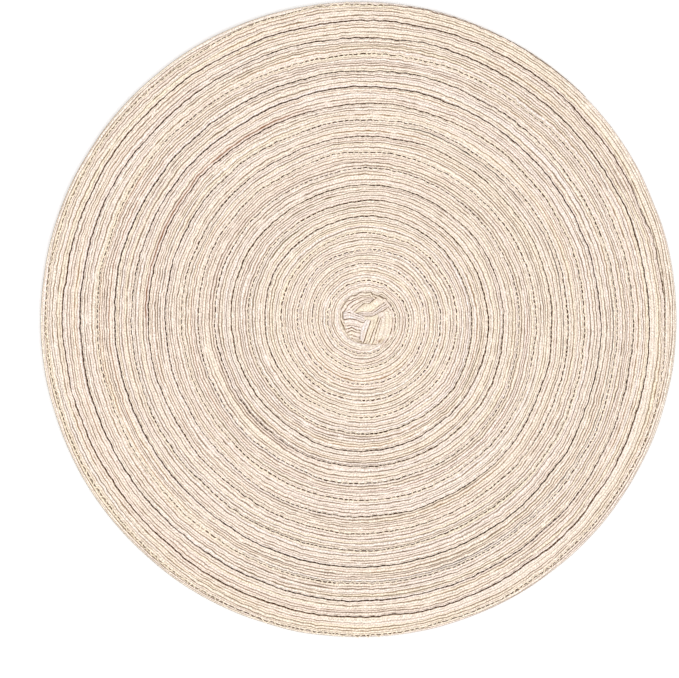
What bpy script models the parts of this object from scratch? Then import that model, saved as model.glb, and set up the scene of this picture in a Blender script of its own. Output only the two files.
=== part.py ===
"""Round placemat made of one flat tape, folded into a small knot and wound outwards round it.

The mat lies on its flat underside with its centre at the origin, +Z up. Its top shows every turn of
the tape as a low crowned band between two sewn seams, and the knot's three folds in the middle.
All sizes are in metres, and angles are in degrees, anticlockwise from +X seen from above.
"""

import bpy
import numpy as np

for thing in list(bpy.data.objects):
    bpy.data.objects.remove(thing, do_unlink=True)


# ---- The mat's sizes --------------------------------------------------------------------------

MAT_RADIUS = 0.190

# The tape, lying flat: its crown and shoulders, the groove a third of the way across it, and how
# deep the sewn seam between two turns sinks.
TAPE_CROWN_Z = 0.0035
TAPE_SHOULDER_Z = 0.0033
TAPE_GROOVE_Z = 0.0029
SEAM_Z = 0.0023

# The seam's winding: its radius grows by PITCH a turn, and a little more in each later turn,
# because the tape is pulled less tight there.
FIRST_SEAM_RADIUS = 0.0148
PITCH = 0.00953
PITCH_GAIN = 0.0000149

# The winding isn't quite central: where its centre lies after so many turns. It starts at the knot's.
KNOT_CENTRE = (0.0056, 0.0004)
DRIFT_TURNS = (0.0, 1.0, 4.0, 7.5, 12.0, 18.0)
DRIFT_X = (KNOT_CENTRE[0], 0.0035, 0.0038, 0.0031, 0.0029, 0.0016)
DRIFT_Y = (KNOT_CENTRE[1], -0.0006, -0.0006, -0.0017, -0.0021, -0.0025)

# The winding runs clockwise in steps of a turn, from a direction that is a whole number of them
# from +X, so that the outline has points on both axes.
STEPS = 56
START_ANGLE = 10 * 360.0 / STEPS

# Shares of the tape's width at which its height is given: seam, shoulder, groove, crown and
# shoulder. The next turn's seam closes it.
ACROSS = (0.0, 0.15, 0.335, 0.55, 0.87)
ACROSS_Z = (SEAM_Z, TAPE_SHOULDER_Z, TAPE_GROOVE_Z, TAPE_CROWN_Z, TAPE_SHOULDER_Z)

# The winding ends two steps past its eighteenth turn, where the last seam runs out at the rim.
WINDING_STEPS = 18 * STEPS + 2

# The rim: the last turn is rounded over, and the mat rests a little inside its widest line.
RIM_TOP_Z = 0.0027
RIM_TOP_INSET = 0.0005
RIM_SEAM_GAP = 0.0006
RIM_SIDE_Z = 0.0016
FOOT_INSET = 0.0006
FULL_HEIGHT_WIDTH = 0.0045  # a last turn narrower than this is also lower

# The knot: an almost round pad of three folds, one lying over the end of the next.
KNOT_RADIUS = 0.0162
KNOT_SEAM_GAP = 0.0006
KNOT_RINGS = 8
BAND_RINGS = 3
KNOT_FLOOR_Z = 0.0029
FOLD_WIDTH = 0.0098
# One row a fold: middle x and y, direction in degrees, length, and the height of its crown.
FOLDS = (
    (0.0048, 0.0075, 12.0, 0.0250, 0.0041),
    (-0.0030, -0.0035, -14.0, 0.0150, 0.0036),
    (0.0072, -0.0058, 72.0, 0.0200, 0.0039),
)


# ---- The winding -------------------------------------------------------------------------------

def step_angle(step):
    """Direction of a step of the winding, in radians: clockwise, STEPS of them a turn."""
    return np.radians(START_ANGLE) - 2.0 * np.pi * step / STEPS


def seam_points(step):
    """The seam at each step: a circle's point whose radius grows and whose centre drifts.

    It starts beside the knot and keeps clear of it, and where it would run out over the rim, the
    point is moved straight in to just beside that.
    """
    turns = step / STEPS
    radius = FIRST_SEAM_RADIUS + PITCH * turns + PITCH_GAIN * turns**2
    radius = np.maximum(radius, KNOT_RADIUS + KNOT_SEAM_GAP)
    angle = step_angle(step)
    x = np.interp(turns, DRIFT_TURNS, DRIFT_X) + radius * np.cos(angle)
    y = np.interp(turns, DRIFT_TURNS, DRIFT_Y) + radius * np.sin(angle)
    seam = np.stack([x, y], axis=-1)
    from_centre = np.linalg.norm(seam, axis=-1, keepdims=True)
    return seam * np.minimum(1.0, (MAT_RADIUS - RIM_TOP_INSET - RIM_SEAM_GAP) / from_centre)


def circle_points(radius, centre=(0.0, 0.0)):
    """One turn's steps on a circle, the first of them at START_ANGLE."""
    angle = step_angle(np.arange(STEPS))
    return np.stack([centre[0] + radius * np.cos(angle), centre[1] + radius * np.sin(angle)], axis=-1)


def knot_height(x, y):
    """Height of the knot: the highest of its folds, each crowned across and rounded at its ends."""
    height = np.full(x.shape, KNOT_FLOOR_Z)
    for middle_x, middle_y, direction, length, crown in FOLDS:
        turn = np.radians(direction)
        along = (x - middle_x) * np.cos(turn) + (y - middle_y) * np.sin(turn)
        across = (y - middle_y) * np.cos(turn) - (x - middle_x) * np.sin(turn)
        fall = np.abs(2.0 * across / FOLD_WIDTH) ** 4 + np.abs(2.0 * along / length) ** 8
        height = np.maximum(height, crown - (crown - KNOT_FLOOR_Z) * np.clip(fall, 0.0, 1.0))
    return height


# ---- The solid's points and faces --------------------------------------------------------------

points = []
faces = []


def add_points(flat, height):
    """Adds points at the given heights and returns their numbers."""
    first = len(points)
    flat = np.asarray(flat).reshape(-1, 2)
    height = np.broadcast_to(height, len(flat))
    points.extend((x, y, z) for (x, y), z in zip(flat.tolist(), height.tolist()))
    return list(range(first, len(points)))


def add_ring_faces(outer, inner):
    """Quads between two closed rings of the same steps, facing up where outer is the wider one."""
    for step in range(STEPS):
        following = (step + 1) % STEPS
        faces.append((outer[step], inner[step], inner[following], outer[following]))


steps = np.arange(WINDING_STEPS)
inner_edge = seam_points(steps)
outline = circle_points(MAT_RADIUS - RIM_TOP_INSET)

# Outer edge of the tape at each step: the seam one turn later, or the outline in the last turn.
last_turn = steps >= WINDING_STEPS - STEPS
outer_edge = np.where(last_turn[:, None], outline[steps % STEPS], seam_points(steps + STEPS))

# Where the last turn narrows towards the rim, its heights come down to the rim's.
width = np.linalg.norm(outer_edge - inner_edge, axis=1)
fullness = np.where(last_turn, np.clip(width / FULL_HEIGHT_WIDTH, 0.0, 1.0), 1.0)
rows = []
for share, crown_height in zip(ACROSS, ACROSS_Z):
    flat = inner_edge + share * (outer_edge - inner_edge)
    height = RIM_TOP_Z + (crown_height - RIM_TOP_Z) * fullness
    rows.append(add_points(flat, height))
rim_top = add_points(outline, RIM_TOP_Z)


def tape_number(step, strip):
    """Number of the point at a step and a strip's inner side. The last one is a turn further out."""
    if strip < len(ACROSS) and step < WINDING_STEPS:
        return rows[strip][step]
    if strip == len(ACROSS) and step + STEPS < WINDING_STEPS:
        return rows[0][step + STEPS]
    return rim_top[step % STEPS]


for step in range(WINDING_STEPS):
    for strip in range(len(ACROSS)):
        corners = [
            tape_number(step, strip),
            tape_number(step + 1, strip),
            tape_number(step + 1, strip + 1),
            tape_number(step, strip + 1),
        ]
        distinct = list(dict.fromkeys(corners))
        if len(distinct) > 2:
            faces.append(tuple(distinct))

# The rim's side and the flat underside.
rim_side = add_points(circle_points(MAT_RADIUS), RIM_SIDE_Z)
foot = add_points(circle_points(MAT_RADIUS - FOOT_INSET), 0.0)
add_ring_faces(rim_side, rim_top)
add_ring_faces(foot, rim_side)
faces.append(tuple(foot))

# The knot's rings, and the part turn of tape that comes out from under it.
knot_edge = circle_points(KNOT_RADIUS, KNOT_CENTRE)
knot_middle = np.array(KNOT_CENTRE)
first_seam = seam_points(np.arange(STEPS))
middle = add_points(knot_middle, knot_height(*knot_middle))[0]
rings = []
for ring in range(1, KNOT_RINGS):
    flat = knot_middle + (knot_edge - knot_middle) * ring / KNOT_RINGS
    rings.append(add_points(flat, knot_height(flat[:, 0], flat[:, 1])))
rings.append(add_points(knot_edge, SEAM_Z + (KNOT_FLOOR_Z - SEAM_Z) / 2.0))
band_width = np.linalg.norm(first_seam - knot_edge, axis=1)
for ring in range(1, BAND_RINGS):
    flat = knot_edge + (first_seam - knot_edge) * ring / BAND_RINGS
    band_fullness = np.clip(band_width / FULL_HEIGHT_WIDTH, 0.0, 1.0)
    rings.append(add_points(flat, SEAM_Z + (TAPE_SHOULDER_Z - SEAM_Z) * band_fullness))
for inner, outer in zip(rings, rings[1:]):
    add_ring_faces(outer, inner)
for step in range(STEPS):
    faces.append((rings[0][step], middle, rings[0][(step + 1) % STEPS]))

# The last ring meets the first turn's seam, which steps out by one tape's width at START_ANGLE.
last_ring = rings[-1]
for step in range(STEPS - 1):
    faces.append((rows[0][step], last_ring[step], last_ring[step + 1], rows[0][step + 1]))
tape_start = [rows[0][STEPS]] + [row[0] for row in reversed(rows)]
before_start = rows[0][STEPS - 1]
for outer, inner in zip(tape_start, tape_start[1:]):
    faces.append((before_start, inner, outer))
faces.append((before_start, last_ring[STEPS - 1], last_ring[0], rows[0][0]))


# ---- The object --------------------------------------------------------------------------------

mesh = bpy.data.meshes.new("mat")
mesh.from_pydata(points, [], faces)
mesh.validate()
mesh.update()
mesh.shade_smooth()
mesh.set_sharp_from_angle(angle=np.radians(40.0))

yarn = bpy.data.materials.new("natural yarn")
yarn.use_nodes = True
shader = yarn.node_tree.nodes["Principled BSDF"]
shader.inputs["Base Color"].default_value = (0.87, 0.76, 0.63, 1.0)
shader.inputs["Roughness"].default_value = 0.9
shader.inputs["Metallic"].default_value = 0.0
mesh.materials.append(yarn)

mat = bpy.data.objects.new("mat", mesh)
bpy.context.collection.objects.link(mat)
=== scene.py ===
import bpy
import numpy as np
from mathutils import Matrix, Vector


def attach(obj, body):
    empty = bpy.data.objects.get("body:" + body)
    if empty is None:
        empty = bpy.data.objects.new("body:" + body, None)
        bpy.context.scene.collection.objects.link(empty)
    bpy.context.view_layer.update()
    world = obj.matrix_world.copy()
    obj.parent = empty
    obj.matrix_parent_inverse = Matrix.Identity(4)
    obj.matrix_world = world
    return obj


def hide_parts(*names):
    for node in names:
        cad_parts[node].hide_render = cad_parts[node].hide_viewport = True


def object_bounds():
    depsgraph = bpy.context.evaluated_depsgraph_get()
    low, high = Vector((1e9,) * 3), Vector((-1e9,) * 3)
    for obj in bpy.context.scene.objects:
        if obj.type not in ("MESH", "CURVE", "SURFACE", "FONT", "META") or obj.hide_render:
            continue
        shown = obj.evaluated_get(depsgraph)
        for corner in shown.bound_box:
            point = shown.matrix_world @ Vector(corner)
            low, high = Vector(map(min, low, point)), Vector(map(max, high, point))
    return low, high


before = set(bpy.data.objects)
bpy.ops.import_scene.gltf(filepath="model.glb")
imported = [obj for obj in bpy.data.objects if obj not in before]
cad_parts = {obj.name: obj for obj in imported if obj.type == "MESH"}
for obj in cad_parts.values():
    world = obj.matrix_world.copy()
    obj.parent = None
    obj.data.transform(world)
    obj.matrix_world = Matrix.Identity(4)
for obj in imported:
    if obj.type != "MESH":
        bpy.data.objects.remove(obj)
cad_low, cad_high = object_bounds()


# ---------------------------------------------------------------------------------------------
# Camera, light and table top. The mat is seen from straight above, a little right of the middle
# and above it, on a white table top. The light is broad and even, so that only the hollows
# between the yarns hold any shade.
PICTURE_WIDTH = 0.4053
CAMERA_HEIGHT = 1.6
SENSOR_WIDTH = 36.0
VIEW_CENTRE = (-0.01134, -0.01170)
TABLE_HALF_WIDTH = 6.0
TABLE_TOP_Z = -0.0002
TABLE_WHITE = (0.93, 0.93, 0.93, 1)
TABLE_ROUGHNESS = 0.9
SKY_STRENGTH = 1.122
KEY_STRENGTH = 0.80
KEY_TILT = (np.radians(34), 0.0, np.radians(40))
KEY_ANGLE = np.radians(50)

camera = bpy.data.objects.new("camera", bpy.data.cameras.new("camera"))
camera.data.sensor_width = SENSOR_WIDTH
camera.data.lens = SENSOR_WIDTH * CAMERA_HEIGHT / PICTURE_WIDTH
camera.location = (*VIEW_CENTRE, CAMERA_HEIGHT + cad_high.z)
bpy.context.scene.collection.objects.link(camera)
bpy.context.scene.camera = camera
bpy.context.scene.view_settings.view_transform = "Standard"

sky = bpy.data.worlds.new("even white studio")
sky.use_nodes = True
sky.node_tree.nodes["Background"].inputs["Color"].default_value = (1, 1, 1, 1)
sky.node_tree.nodes["Background"].inputs["Strength"].default_value = SKY_STRENGTH
bpy.context.scene.world = sky

key = bpy.data.objects.new("soft_key", bpy.data.lights.new("soft_key", "SUN"))
key.data.energy = KEY_STRENGTH
key.data.angle = KEY_ANGLE
key.rotation_euler = KEY_TILT
bpy.context.scene.collection.objects.link(key)

corners = [(-1, -1), (1, -1), (1, 1), (-1, 1)]
table_mesh = bpy.data.meshes.new("table_top")
table_mesh.from_pydata(
    [(x * TABLE_HALF_WIDTH, y * TABLE_HALF_WIDTH, TABLE_TOP_Z) for x, y in corners],
    [], [(0, 1, 2, 3)],
)
table_top = bpy.data.objects.new("table_top", table_mesh)
bpy.context.scene.collection.objects.link(table_top)
table_paint = bpy.data.materials.new("white table")
table_paint.use_nodes = True
table_paint.node_tree.nodes["Principled BSDF"].inputs["Base Color"].default_value = TABLE_WHITE
table_paint.node_tree.nodes["Principled BSDF"].inputs["Roughness"].default_value = TABLE_ROUGHNESS
table_mesh.materials.append(table_paint)


# ---------------------------------------------------------------------------------------------
# Wound tape. The mat is one long woven tape of seven soft cotton yarns side by side, wound flat
# round the knot at its middle and sewn edge to edge. It is made here in lengths that meet end to
# end, each yarn a rib with a hollow on both sides, and its last turn narrows under at the rim.
# A place along the winding is given in turns. Turn 0 is at START_ANGLE, and turns run clockwise.
START_ANGLE = np.radians(66.0)
RIM_RADIUS = 0.1899
KNOT_CENTRE = (0.0054, 0.0005)
TAPE_START_TURN = -0.84
TAPE_END_TURN = 18.060
TAPE_FULL_WIDTH, FULL_WIDTH_TURN = 0.0096, 8.0
STEP_LENGTH = 0.0015
LENGTHS_OF_TAPE = 5
# The seam is followed from before the tape's start to past its end, at this many places.
SEAM_FROM_TURN, SEAM_TO_TURN, SEAM_SAMPLES = -1, 18.1, 20001
# The start of the tape lies on a small circle under the knot. It is fainter out to FAINT_RADIUS
# from the knot's centre, and it dips where the knot lies over it, out to KNOT_REACH.
TUCK_RADIUS = 0.0143
TUCK_GAP = 0.0001
TUCK_SEAM_SHARE = 0.4
FAINT_RADIUS, FAINT_SHADE, FAINT_DARKNESS = 0.0183, 0.94, 0.3
KNOT_REACH, KNOT_DIP = 0.0172, 0.0007
KNOT_FADE = 0.001

# The seam's distance from the mat's centre, in millimetres, beside an even spiral: how far it is
# out in all, and how far its circle is pushed along X and Y, at some turns.
SEAM_START, SEAM_PITCH, SEAM_PITCH_GAIN = 15.0, 9.53, 0.015
SEAM_OUT_TURNS = (
    1, 1.1, 1.3, 1.4, 1.5, 1.65, 1.8, 1.9, 2.1, 2.5, 2.65, 2.75, 2.97, 3.04, 3.7, 4.0, 4.07, 4.3,
    5, 9, 18,
)
SEAM_OUT = (
    0.25, 0.50, 0.62, -0.05, -0.37, -0.31, -0.05, -0.15, 0.65, -0.30, -0.35, -0.80, -0.80, -0.30,
    -0.55, -0.65, -0.05, -0.20, -0.38, -0.48, -0.42,
)
SEAM_PUSH_TURNS = (1, 3, 6, 12, 18)
SEAM_PUSH_X = (2.50, 3.96, 3.32, 2.54, 1.29)
SEAM_PUSH_Y = (-0.82, -0.36, -1.37, -1.95, -2.43)
# The outer turns aren't quite round: waves round the turn, as (waves, along cosine, along sine).
SEAM_WAVES = (
    (2, -0.21, -0.44), (3, -0.37, 0.15), (4, 0.16, -0.14), (5, -0.03, 0.12), (6, -0.13, 0.15),
)
WAVES_FROM_TURN, WAVES_GROW_TURNS = 2, 6
# The last turn of the seam, as its distance in from the rim in millimetres.
LAST_SEAM_TURNS = (
    17.06, 17.12, 17.18, 17.24, 17.31, 17.43, 17.49, 17.59, 17.68, 17.84, 17.93, 18.07,
)
LAST_SEAM_INSET = (10.0, 8.9, 6.8, 4.4, 3.5, 1.5, 2.3, 4.1, 3.2, 4.4, 1.5, 0.5)
# The first turn of the seam is round a centre that moves from the knot's to this one, with its
# own distances out. The later turns are carried round a little to follow on from it, and that
# fades out.
FIRST_TURN_CENTRE = (3.40, -0.60)
FIRST_OUT_TURNS = (0, 0.30, 0.42, 0.60, 0.75, 0.80, 0.88, 1.0)
FIRST_OUT = (0, 0, 1.3, 1.3, 0.8, 0.3, -0.3, 0)
FOLLOW_ON, FOLLOW_ON_TURNS = 0.0208, 0.7

# Handwork is uneven. A drift is one or more ripples along the tape, each as its size, its step in
# metres and its seed: how the stitches bunch, and how far the seam and the rim stray.
STITCH_DRIFT = ((0.45, 0.025, 5), (0.24, 0.007, 19))
SEAM_BENDS = ((0.00028, 0.018, 3), (0.00014, 0.0040, 4))
RIM_BENDS = ((0.00012, 0.02, 7),)
STITCH_LENGTH = 0.0034
STITCH_PULL = 0.00016
SEAM_GAP_BY_DARKNESS = (0.00004, 0.00010, 0.00020)
SEAM_GAP_MOST = 0.00035

# The tape's cross section: its heights at the crown, the edges and the foot, then where its
# hollows lie across it from 0 to 1, how they stray, and the points of the yarn between two.
CROWN_Z = 0.0035
SHOULDER_DROP = 0.00022
EDGE_SINK = 0.0009
EDGE_MEET_Z = 0.0017
EDGE_FOOT_Z = 0.0004
EDGE_FOOT_INSET = 0.0003
EDGE_CLEARANCE = 0.00002
BURIED_Z = 0.0017
UNDERSIDE_POINTS = 13
UNDERSIDE_MARGIN = 0.035
UNDERSIDE_GROOVE_Z = 0.00028
# Top points never meet: these keep them apart beside the two edges, and where they are buried.
POINT_SPACING, LIP_SPACING = 0.00001, 0.00005
LEAST_SPREAD = 0.012
GROOVES = (0.17, 0.33, 0.48, 0.60, 0.76, 0.88)
GROOVE_WANDER = ((0.026, 0.03, 8), (0.012, 0.0045, 9))
GROOVE_DEPTHS, DEEPEST_AT_DARKNESS = (0.00022, 0.00062), 0.7
NEEDLE_HOLE_PULL = 0.026
RIB_POINTS = (0.22, 0.50, 0.78)
RIB_HEIGHTS = (-0.00012, 0.0, -0.00012)
# Painted light across each rib: lighter on its crown, painted shade on its sides.
RIB_PAINTED_LIGHT = (0.98, 1.05, 0.98)
RIB_LIFT = ((0.00007, 0.012, 13),)
RIM_JOIN_TURNS = 0.04
RIM_WALL_INSET = 0.00035

# Colours of the yarns, as linear red, green and blue.
PINK_CREAM = (0.880, 0.752, 0.662)
YELLOW_CREAM = (0.880, 0.770, 0.612)
LILAC_WHITE = (0.885, 0.806, 0.770)
# Brown is also the colour that painted shade is mixed towards: in the hollows, at the seams' edges,
# the rim, the underside, the thread and the knot's bed.
BROWN = (0.150, 0.084, 0.038)
OLIVE = (0.165, 0.110, 0.038)
OCHRE = (0.290, 0.165, 0.058)
RUST = (0.250, 0.105, 0.038)
BLACK = (0.020, 0.010, 0.005)
# Painted colour of the shadow in the open seam, partly its dark thread, where it is black and
# where it is brown, and what light that goes from yarn to yarn loses in a hollow, painted as a
# warmer shade.
SEAM_BLACK = (0.120, 0.036, 0.003, 1)
SEAM_BROWN = (0.210, 0.070, 0.008, 1)
WARM_LOSS = (0.0, 0.040, 0.080)

# How dark the seam is along the winding, and so how much shadow is painted in it, partly its
# dark thread, and how warm: 0 is black and 1 is brown.
SEAM_DARK_TURNS = (
    0, 2.0, 3.0, 4.5, 4.6, 5.4, 5.5, 5.85, 5.9, 6.4, 7.0, 7.6, 7.7, 8.0, 9.7, 9.85, 10.4, 10.5,
    10.75, 10.85, 11.5, 11.75, 11.95, 12.1, 12.7, 12.8, 13.2, 14.0, 14.2, 15.0, 15.45, 15.9, 16.1,
    17, 17.15, 17.19, 17.24, 18.1,
)
SEAM_DARK = (
    0.45, 0.48, 0.55, 0.52, 0.80, 0.78, 0.55, 0.58, 0.85, 0.90, 0.85, 0.78, 0.60, 0.62, 0.62, 0.80,
    0.85, 0.60, 0.90, 0.62, 0.70, 0.95, 0.88, 0.60, 0.70, 1.00, 1.00, 0.85, 0.58, 0.55, 0.95, 0.92,
    0.95, 1.02, 0.98, 0.65, 0.45, 0.5,
)
SEAM_WARM_TURNS = (
    0, 2.6, 5, 8, 9.4, 10.2, 10.8, 11.4, 12, 12.3, 12.9, 13.2, 14, 14.4, 15.4, 15.9, 16.3, 18.1,
)
SEAM_WARM = (
    0.5, 0.5, 0.9, 0.8, 0.45, 0.8, 0.5, 0.9, 0.8, 0.5, 0.45, 0.05, 0.1, 0.6, 0.3, 0.4, 1.0, 0.9,
)
SEAM_UNEVEN = ((0.24, 0.009, 6), (0.16, 0.0035, 18))
# A seam counts as strong above STRONG_FROM, and the thread is pulled in there and painted
# darker, partly stain and partly the seam's shade. It is bold above BOLD_FROM, and its painted
# shadow lies wider on the edges there.
STRONG_FROM, STRONG_SPAN = 0.55, 0.40
BOLD_FROM, BOLD_SPAN, BOLD_REACH = 0.60, 0.35, 0.14
# The painted shadow in the seam, partly its dark thread, is this much times its darkness, and a
# share of it is painted on the point beside each edge, inner seam and outer seam. The edges
# themselves get a little painted shadow too.
SEAM_SHADOW = 2.0
SEAM_SHADOW_REACH = (0.48, 0.32)
LIP_DARK, LIP_DARK_IF_WARM, LIP_FLANK_SHARE = 0.12, 0.34, 0.15
# How far the stitches break the shadow into dashes: most where the seam is faint, and patchy.
BREAK_LEVEL, BREAK_LESS_IF_DARK = 1.50, 1.36
BREAK_RANGE = (0.08, 0.92)
BREAK_PATCHES, OTHER_SIDE_SHIFT = ((0.16, 0.022, 25),), 0.5

# How dark each hollow is as a rule, as painted shade with some darker thread in it, and the
# stretches where a darker or a paler yarn shows in one: which hollow, from turn, to turn, how
# dark, and the colour.
GROOVE_DARK = (0.44, 1.06, 0.36, 0.97, 0.94, 0.35)
DARK_RUNS = (
    (0, 3.90, 5.35, 0.35, BROWN), (0, 5.40, 5.86, 1.15, BROWN), (0, 6.00, 7.45, 0.30, BROWN),
    (0, 7.50, 8.70, 1.20, BROWN), (0, 10.30, 10.55, 1.25, BROWN), (0, 11.66, 11.90, 1.75, RUST),
    (1, 12.00, 13.15, 1.20, BROWN), (1, 14.35, 14.52, 1.50, BROWN),
    (2, 5.15, 5.90, 0.90, BROWN), (2, 8.14, 8.80, 0.90, RUST), (2, 9.00, 9.20, 1.15, BROWN),
    (2, 10.33, 10.48, 1.15, BROWN), (2, 10.65, 10.82, 1.15, BROWN), (2, 11.07, 11.15, 0.95, RUST),
    (2, 13.22, 14.35, 1.20, BROWN), (2, 14.83, 15.11, 1.25, OLIVE),
    (3, 4.75, 5.35, 1.50, OLIVE), (3, 5.80, 5.96, 1.35, OLIVE), (3, 8.00, 8.20, 1.30, BROWN),
    (3, 8.80, 9.00, 1.40, BROWN),
    (4, 4.46, 4.85, 1.45, OLIVE), (4, 6.25, 6.95, 1.45, BROWN), (4, 8.47, 8.80, 1.50, OLIVE),
    (4, 9.95, 10.25, 1.35, BLACK), (4, 11.20, 11.35, 1.20, BROWN), (4, 11.50, 11.70, 1.25, BROWN),
    (4, 12.70, 12.98, 1.35, BROWN), (4, 13.15, 13.40, 1.20, BLACK), (4, 14.32, 14.60, 1.50, OLIVE),
    (4, 15.40, 15.50, 1.40, BROWN),
    (5, 6.40, 6.60, 0.95, BROWN), (5, 11.30, 11.52, 1.15, BROWN), (5, 13.30, 13.51, 1.05, BLACK),
    (1, 13.60, 13.82, 1.10, RUST), (5, 13.62, 13.80, 1.20, RUST),
    (0, 16.12, 16.48, 0.15, BROWN), (1, 16.14, 16.46, 0.50, BROWN), (2, 16.14, 16.46, 0.22, BROWN),
    (3, 16.18, 16.44, 1.20, BROWN),
)
RUN_FADE = 0.025
RUN_FLICKER = ((0.25, 0.0035, 12),)
HOLLOW_DRIFT = ((0.12, 0.09, 10),)
HOLLOW_FLICKER = ((0.32, 0.0030, 11),)
HOLLOW_RANGE = (0.05, 1.25)
# Painted shade in the needle holes, and the share of a hollow's painted shade put on the yarn
# beside it, more beside a very dark, wide hollow.
NEEDLE_HOLE_DARK = 0.35
FLANK_SHARE = 0.18
WIDE_FROM, WIDE_SHARE = 1.15, 0.30
GOLDEN_SHARE, GOLDEN_DRIFT = 0.15, ((0.40, 0.07, 24),)

# How the yarns' colours drift along the tape, and how they change at a black seam, in the last
# turn and along the rim.
YELLOW_SHARE, YELLOW_DRIFT = 0.36, ((0.30, 0.11, 14), (0.14, 0.02, 15))
LILAC_SHARE, LILAC_DRIFT = 0.16, ((0.22, 0.17, 16),)
LIGHT_DRIFT = ((0.018, 0.006, 17),)
LILAC_AT_BLACK_SEAM = 0.15
WARM_LAST_TURN, LAST_TURN_YELLOW = (16.05, 16.25), 0.20
RIM_LIFT, RIM_LIFT_FADE, RIM_FROM_HOLLOW = (0.01, 0.03, 0.06), 0.06, 5
# Painted shade on the rim's outer edge and wall, where the yarn turns down away from the light, and
# on the rim's foot.
RIM_WALL_PAINTED_SHADE, RIM_FOOT_PAINTED_SHADE = 0.90, 0.5
# Painted shade under the tape, and more of it in the underside's grooves.
UNDERSIDE_PAINTED_SHADE, UNDERSIDE_GROOVE_PAINTED_SHADE = (0.98, 0.96, 0.94), 0.35

# A ripple is made from this many seeded heights in each of its rows.
RIPPLE_ROWS, RIPPLE_HEIGHTS = 8, 4096


def ripple(place, step, seed, row=0):
    """A smooth random wave of about unit size: seeded heights one step apart, each pair joined by
    an S-curve."""
    heights = np.random.default_rng(seed).normal(0, 1, (RIPPLE_ROWS, RIPPLE_HEIGHTS))
    heights = heights[row % RIPPLE_ROWS]
    along = np.asarray(place) / step + RIPPLE_HEIGHTS / 2
    before = np.floor(along).astype(int)
    part = along - before
    ease = part * part * (3 - 2 * part)
    first, second = heights[before % RIPPLE_HEIGHTS], heights[(before + 1) % RIPPLE_HEIGHTS]
    return first * (1 - ease) + second * ease


def drift(place, ripples, row=0):
    """Ripples added up, each given as its size, its step and its seed."""
    return sum(size * ripple(place, step, seed, row) for size, step, seed in ripples)


def seam_line(turn):
    """Plan points of the seam: an even spiral plus its push, its waves and, for the last turn, its
    inset. The first turn is a spiral round a centre that moves away from the knot's."""
    carried = turn + FOLLOW_ON * np.clip(1 - (turn - 1) / FOLLOW_ON_TURNS, 0, 1)
    angle = START_ANGLE - 2 * np.pi * carried
    waves = sum(c * np.cos(n * angle) + s * np.sin(n * angle) for n, c, s in SEAM_WAVES)
    radius = SEAM_START + SEAM_PITCH * carried + SEAM_PITCH_GAIN * carried**2
    radius += np.interp(carried, SEAM_OUT_TURNS, SEAM_OUT)
    radius += np.clip((carried - WAVES_FROM_TURN) / WAVES_GROW_TURNS, 0, 1) * waves
    radius += np.interp(carried, SEAM_PUSH_TURNS, SEAM_PUSH_X) * np.cos(angle)
    radius += np.interp(carried, SEAM_PUSH_TURNS, SEAM_PUSH_Y) * np.sin(angle)
    last = 1000 * RIM_RADIUS - np.interp(turn, LAST_SEAM_TURNS, LAST_SEAM_INSET)
    radius = np.where(turn > LAST_SEAM_TURNS[0], last, radius)
    later = radius[..., None] * np.stack([np.cos(angle), np.sin(angle)], -1)

    angle = START_ANGLE - 2 * np.pi * turn
    centre = np.array(KNOT_CENTRE) * 1000
    centre = centre + np.clip(turn, 0, 1)[..., None] * (np.array(FIRST_TURN_CENTRE) - centre)
    first_radius = SEAM_START + SEAM_PITCH * turn + np.interp(turn, FIRST_OUT_TURNS, FIRST_OUT)
    first = centre + first_radius[..., None] * np.stack([np.cos(angle), np.sin(angle)], -1)
    return np.where((turn < 1)[..., None], first, later) / 1000


many_turns = np.linspace(SEAM_FROM_TURN, SEAM_TO_TURN, SEAM_SAMPLES)
seam_steps = np.linalg.norm(np.diff(seam_line(many_turns), axis=0), axis=1)
seam_places = np.concatenate([[0], np.cumsum(seam_steps)])


def stitch_count(turn):
    """Stitches sewn up to a turn of the seam: even along it, but for a slow and a quick drift."""
    place = np.interp(turn, many_turns, seam_places)
    return place / STITCH_LENGTH + drift(place, STITCH_DRIFT)


def seam_wobble(turn):
    """How far the sewn seam strays sideways: slow bends, small kicks, and each stitch's pull to
    the side its needle hole is on."""
    place = np.interp(turn, many_turns, seam_places)
    pull = STITCH_PULL * np.sin(np.pi * stitch_count(turn))
    return drift(place, SEAM_BENDS) + pull


def seam_darkness(turn):
    """How dark the seam is, from 0 to 1, with some unevenness along it."""
    place = np.interp(turn, many_turns, seam_places)
    return np.interp(turn, SEAM_DARK_TURNS, SEAM_DARK) * (1 + drift(place, SEAM_UNEVEN))


def seam_strength(turn):
    """0 where the seam is faint, rising to 1 where it is strong."""
    above = np.interp(turn, SEAM_DARK_TURNS, SEAM_DARK) - STRONG_FROM
    return np.clip(above, 0, STRONG_SPAN) / STRONG_SPAN


def seam_gap(turn):
    """Half the opening between two tapes at the seam: a least gap, and more in step with the
    seam's darkness and with its square."""
    dark = seam_darkness(turn)
    least, by_dark, by_dark_squared = SEAM_GAP_BY_DARKNESS
    return np.clip(least + by_dark * dark + by_dark_squared * dark**2, least, SEAM_GAP_MOST)


def needle_hole(turn, side):
    """1 at a needle hole on this side of the seam (1 outer, -1 inner), and down to 0 between."""
    return np.clip(side * np.sin(np.pi * stitch_count(turn)), 0, 1) ** 2


def mix(first, second, share):
    """Colour arrays blended by a share from 0 to 1."""
    share = np.asarray(share)[..., None]
    return np.asarray(first) * (1 - share) + np.asarray(second) * share


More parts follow.
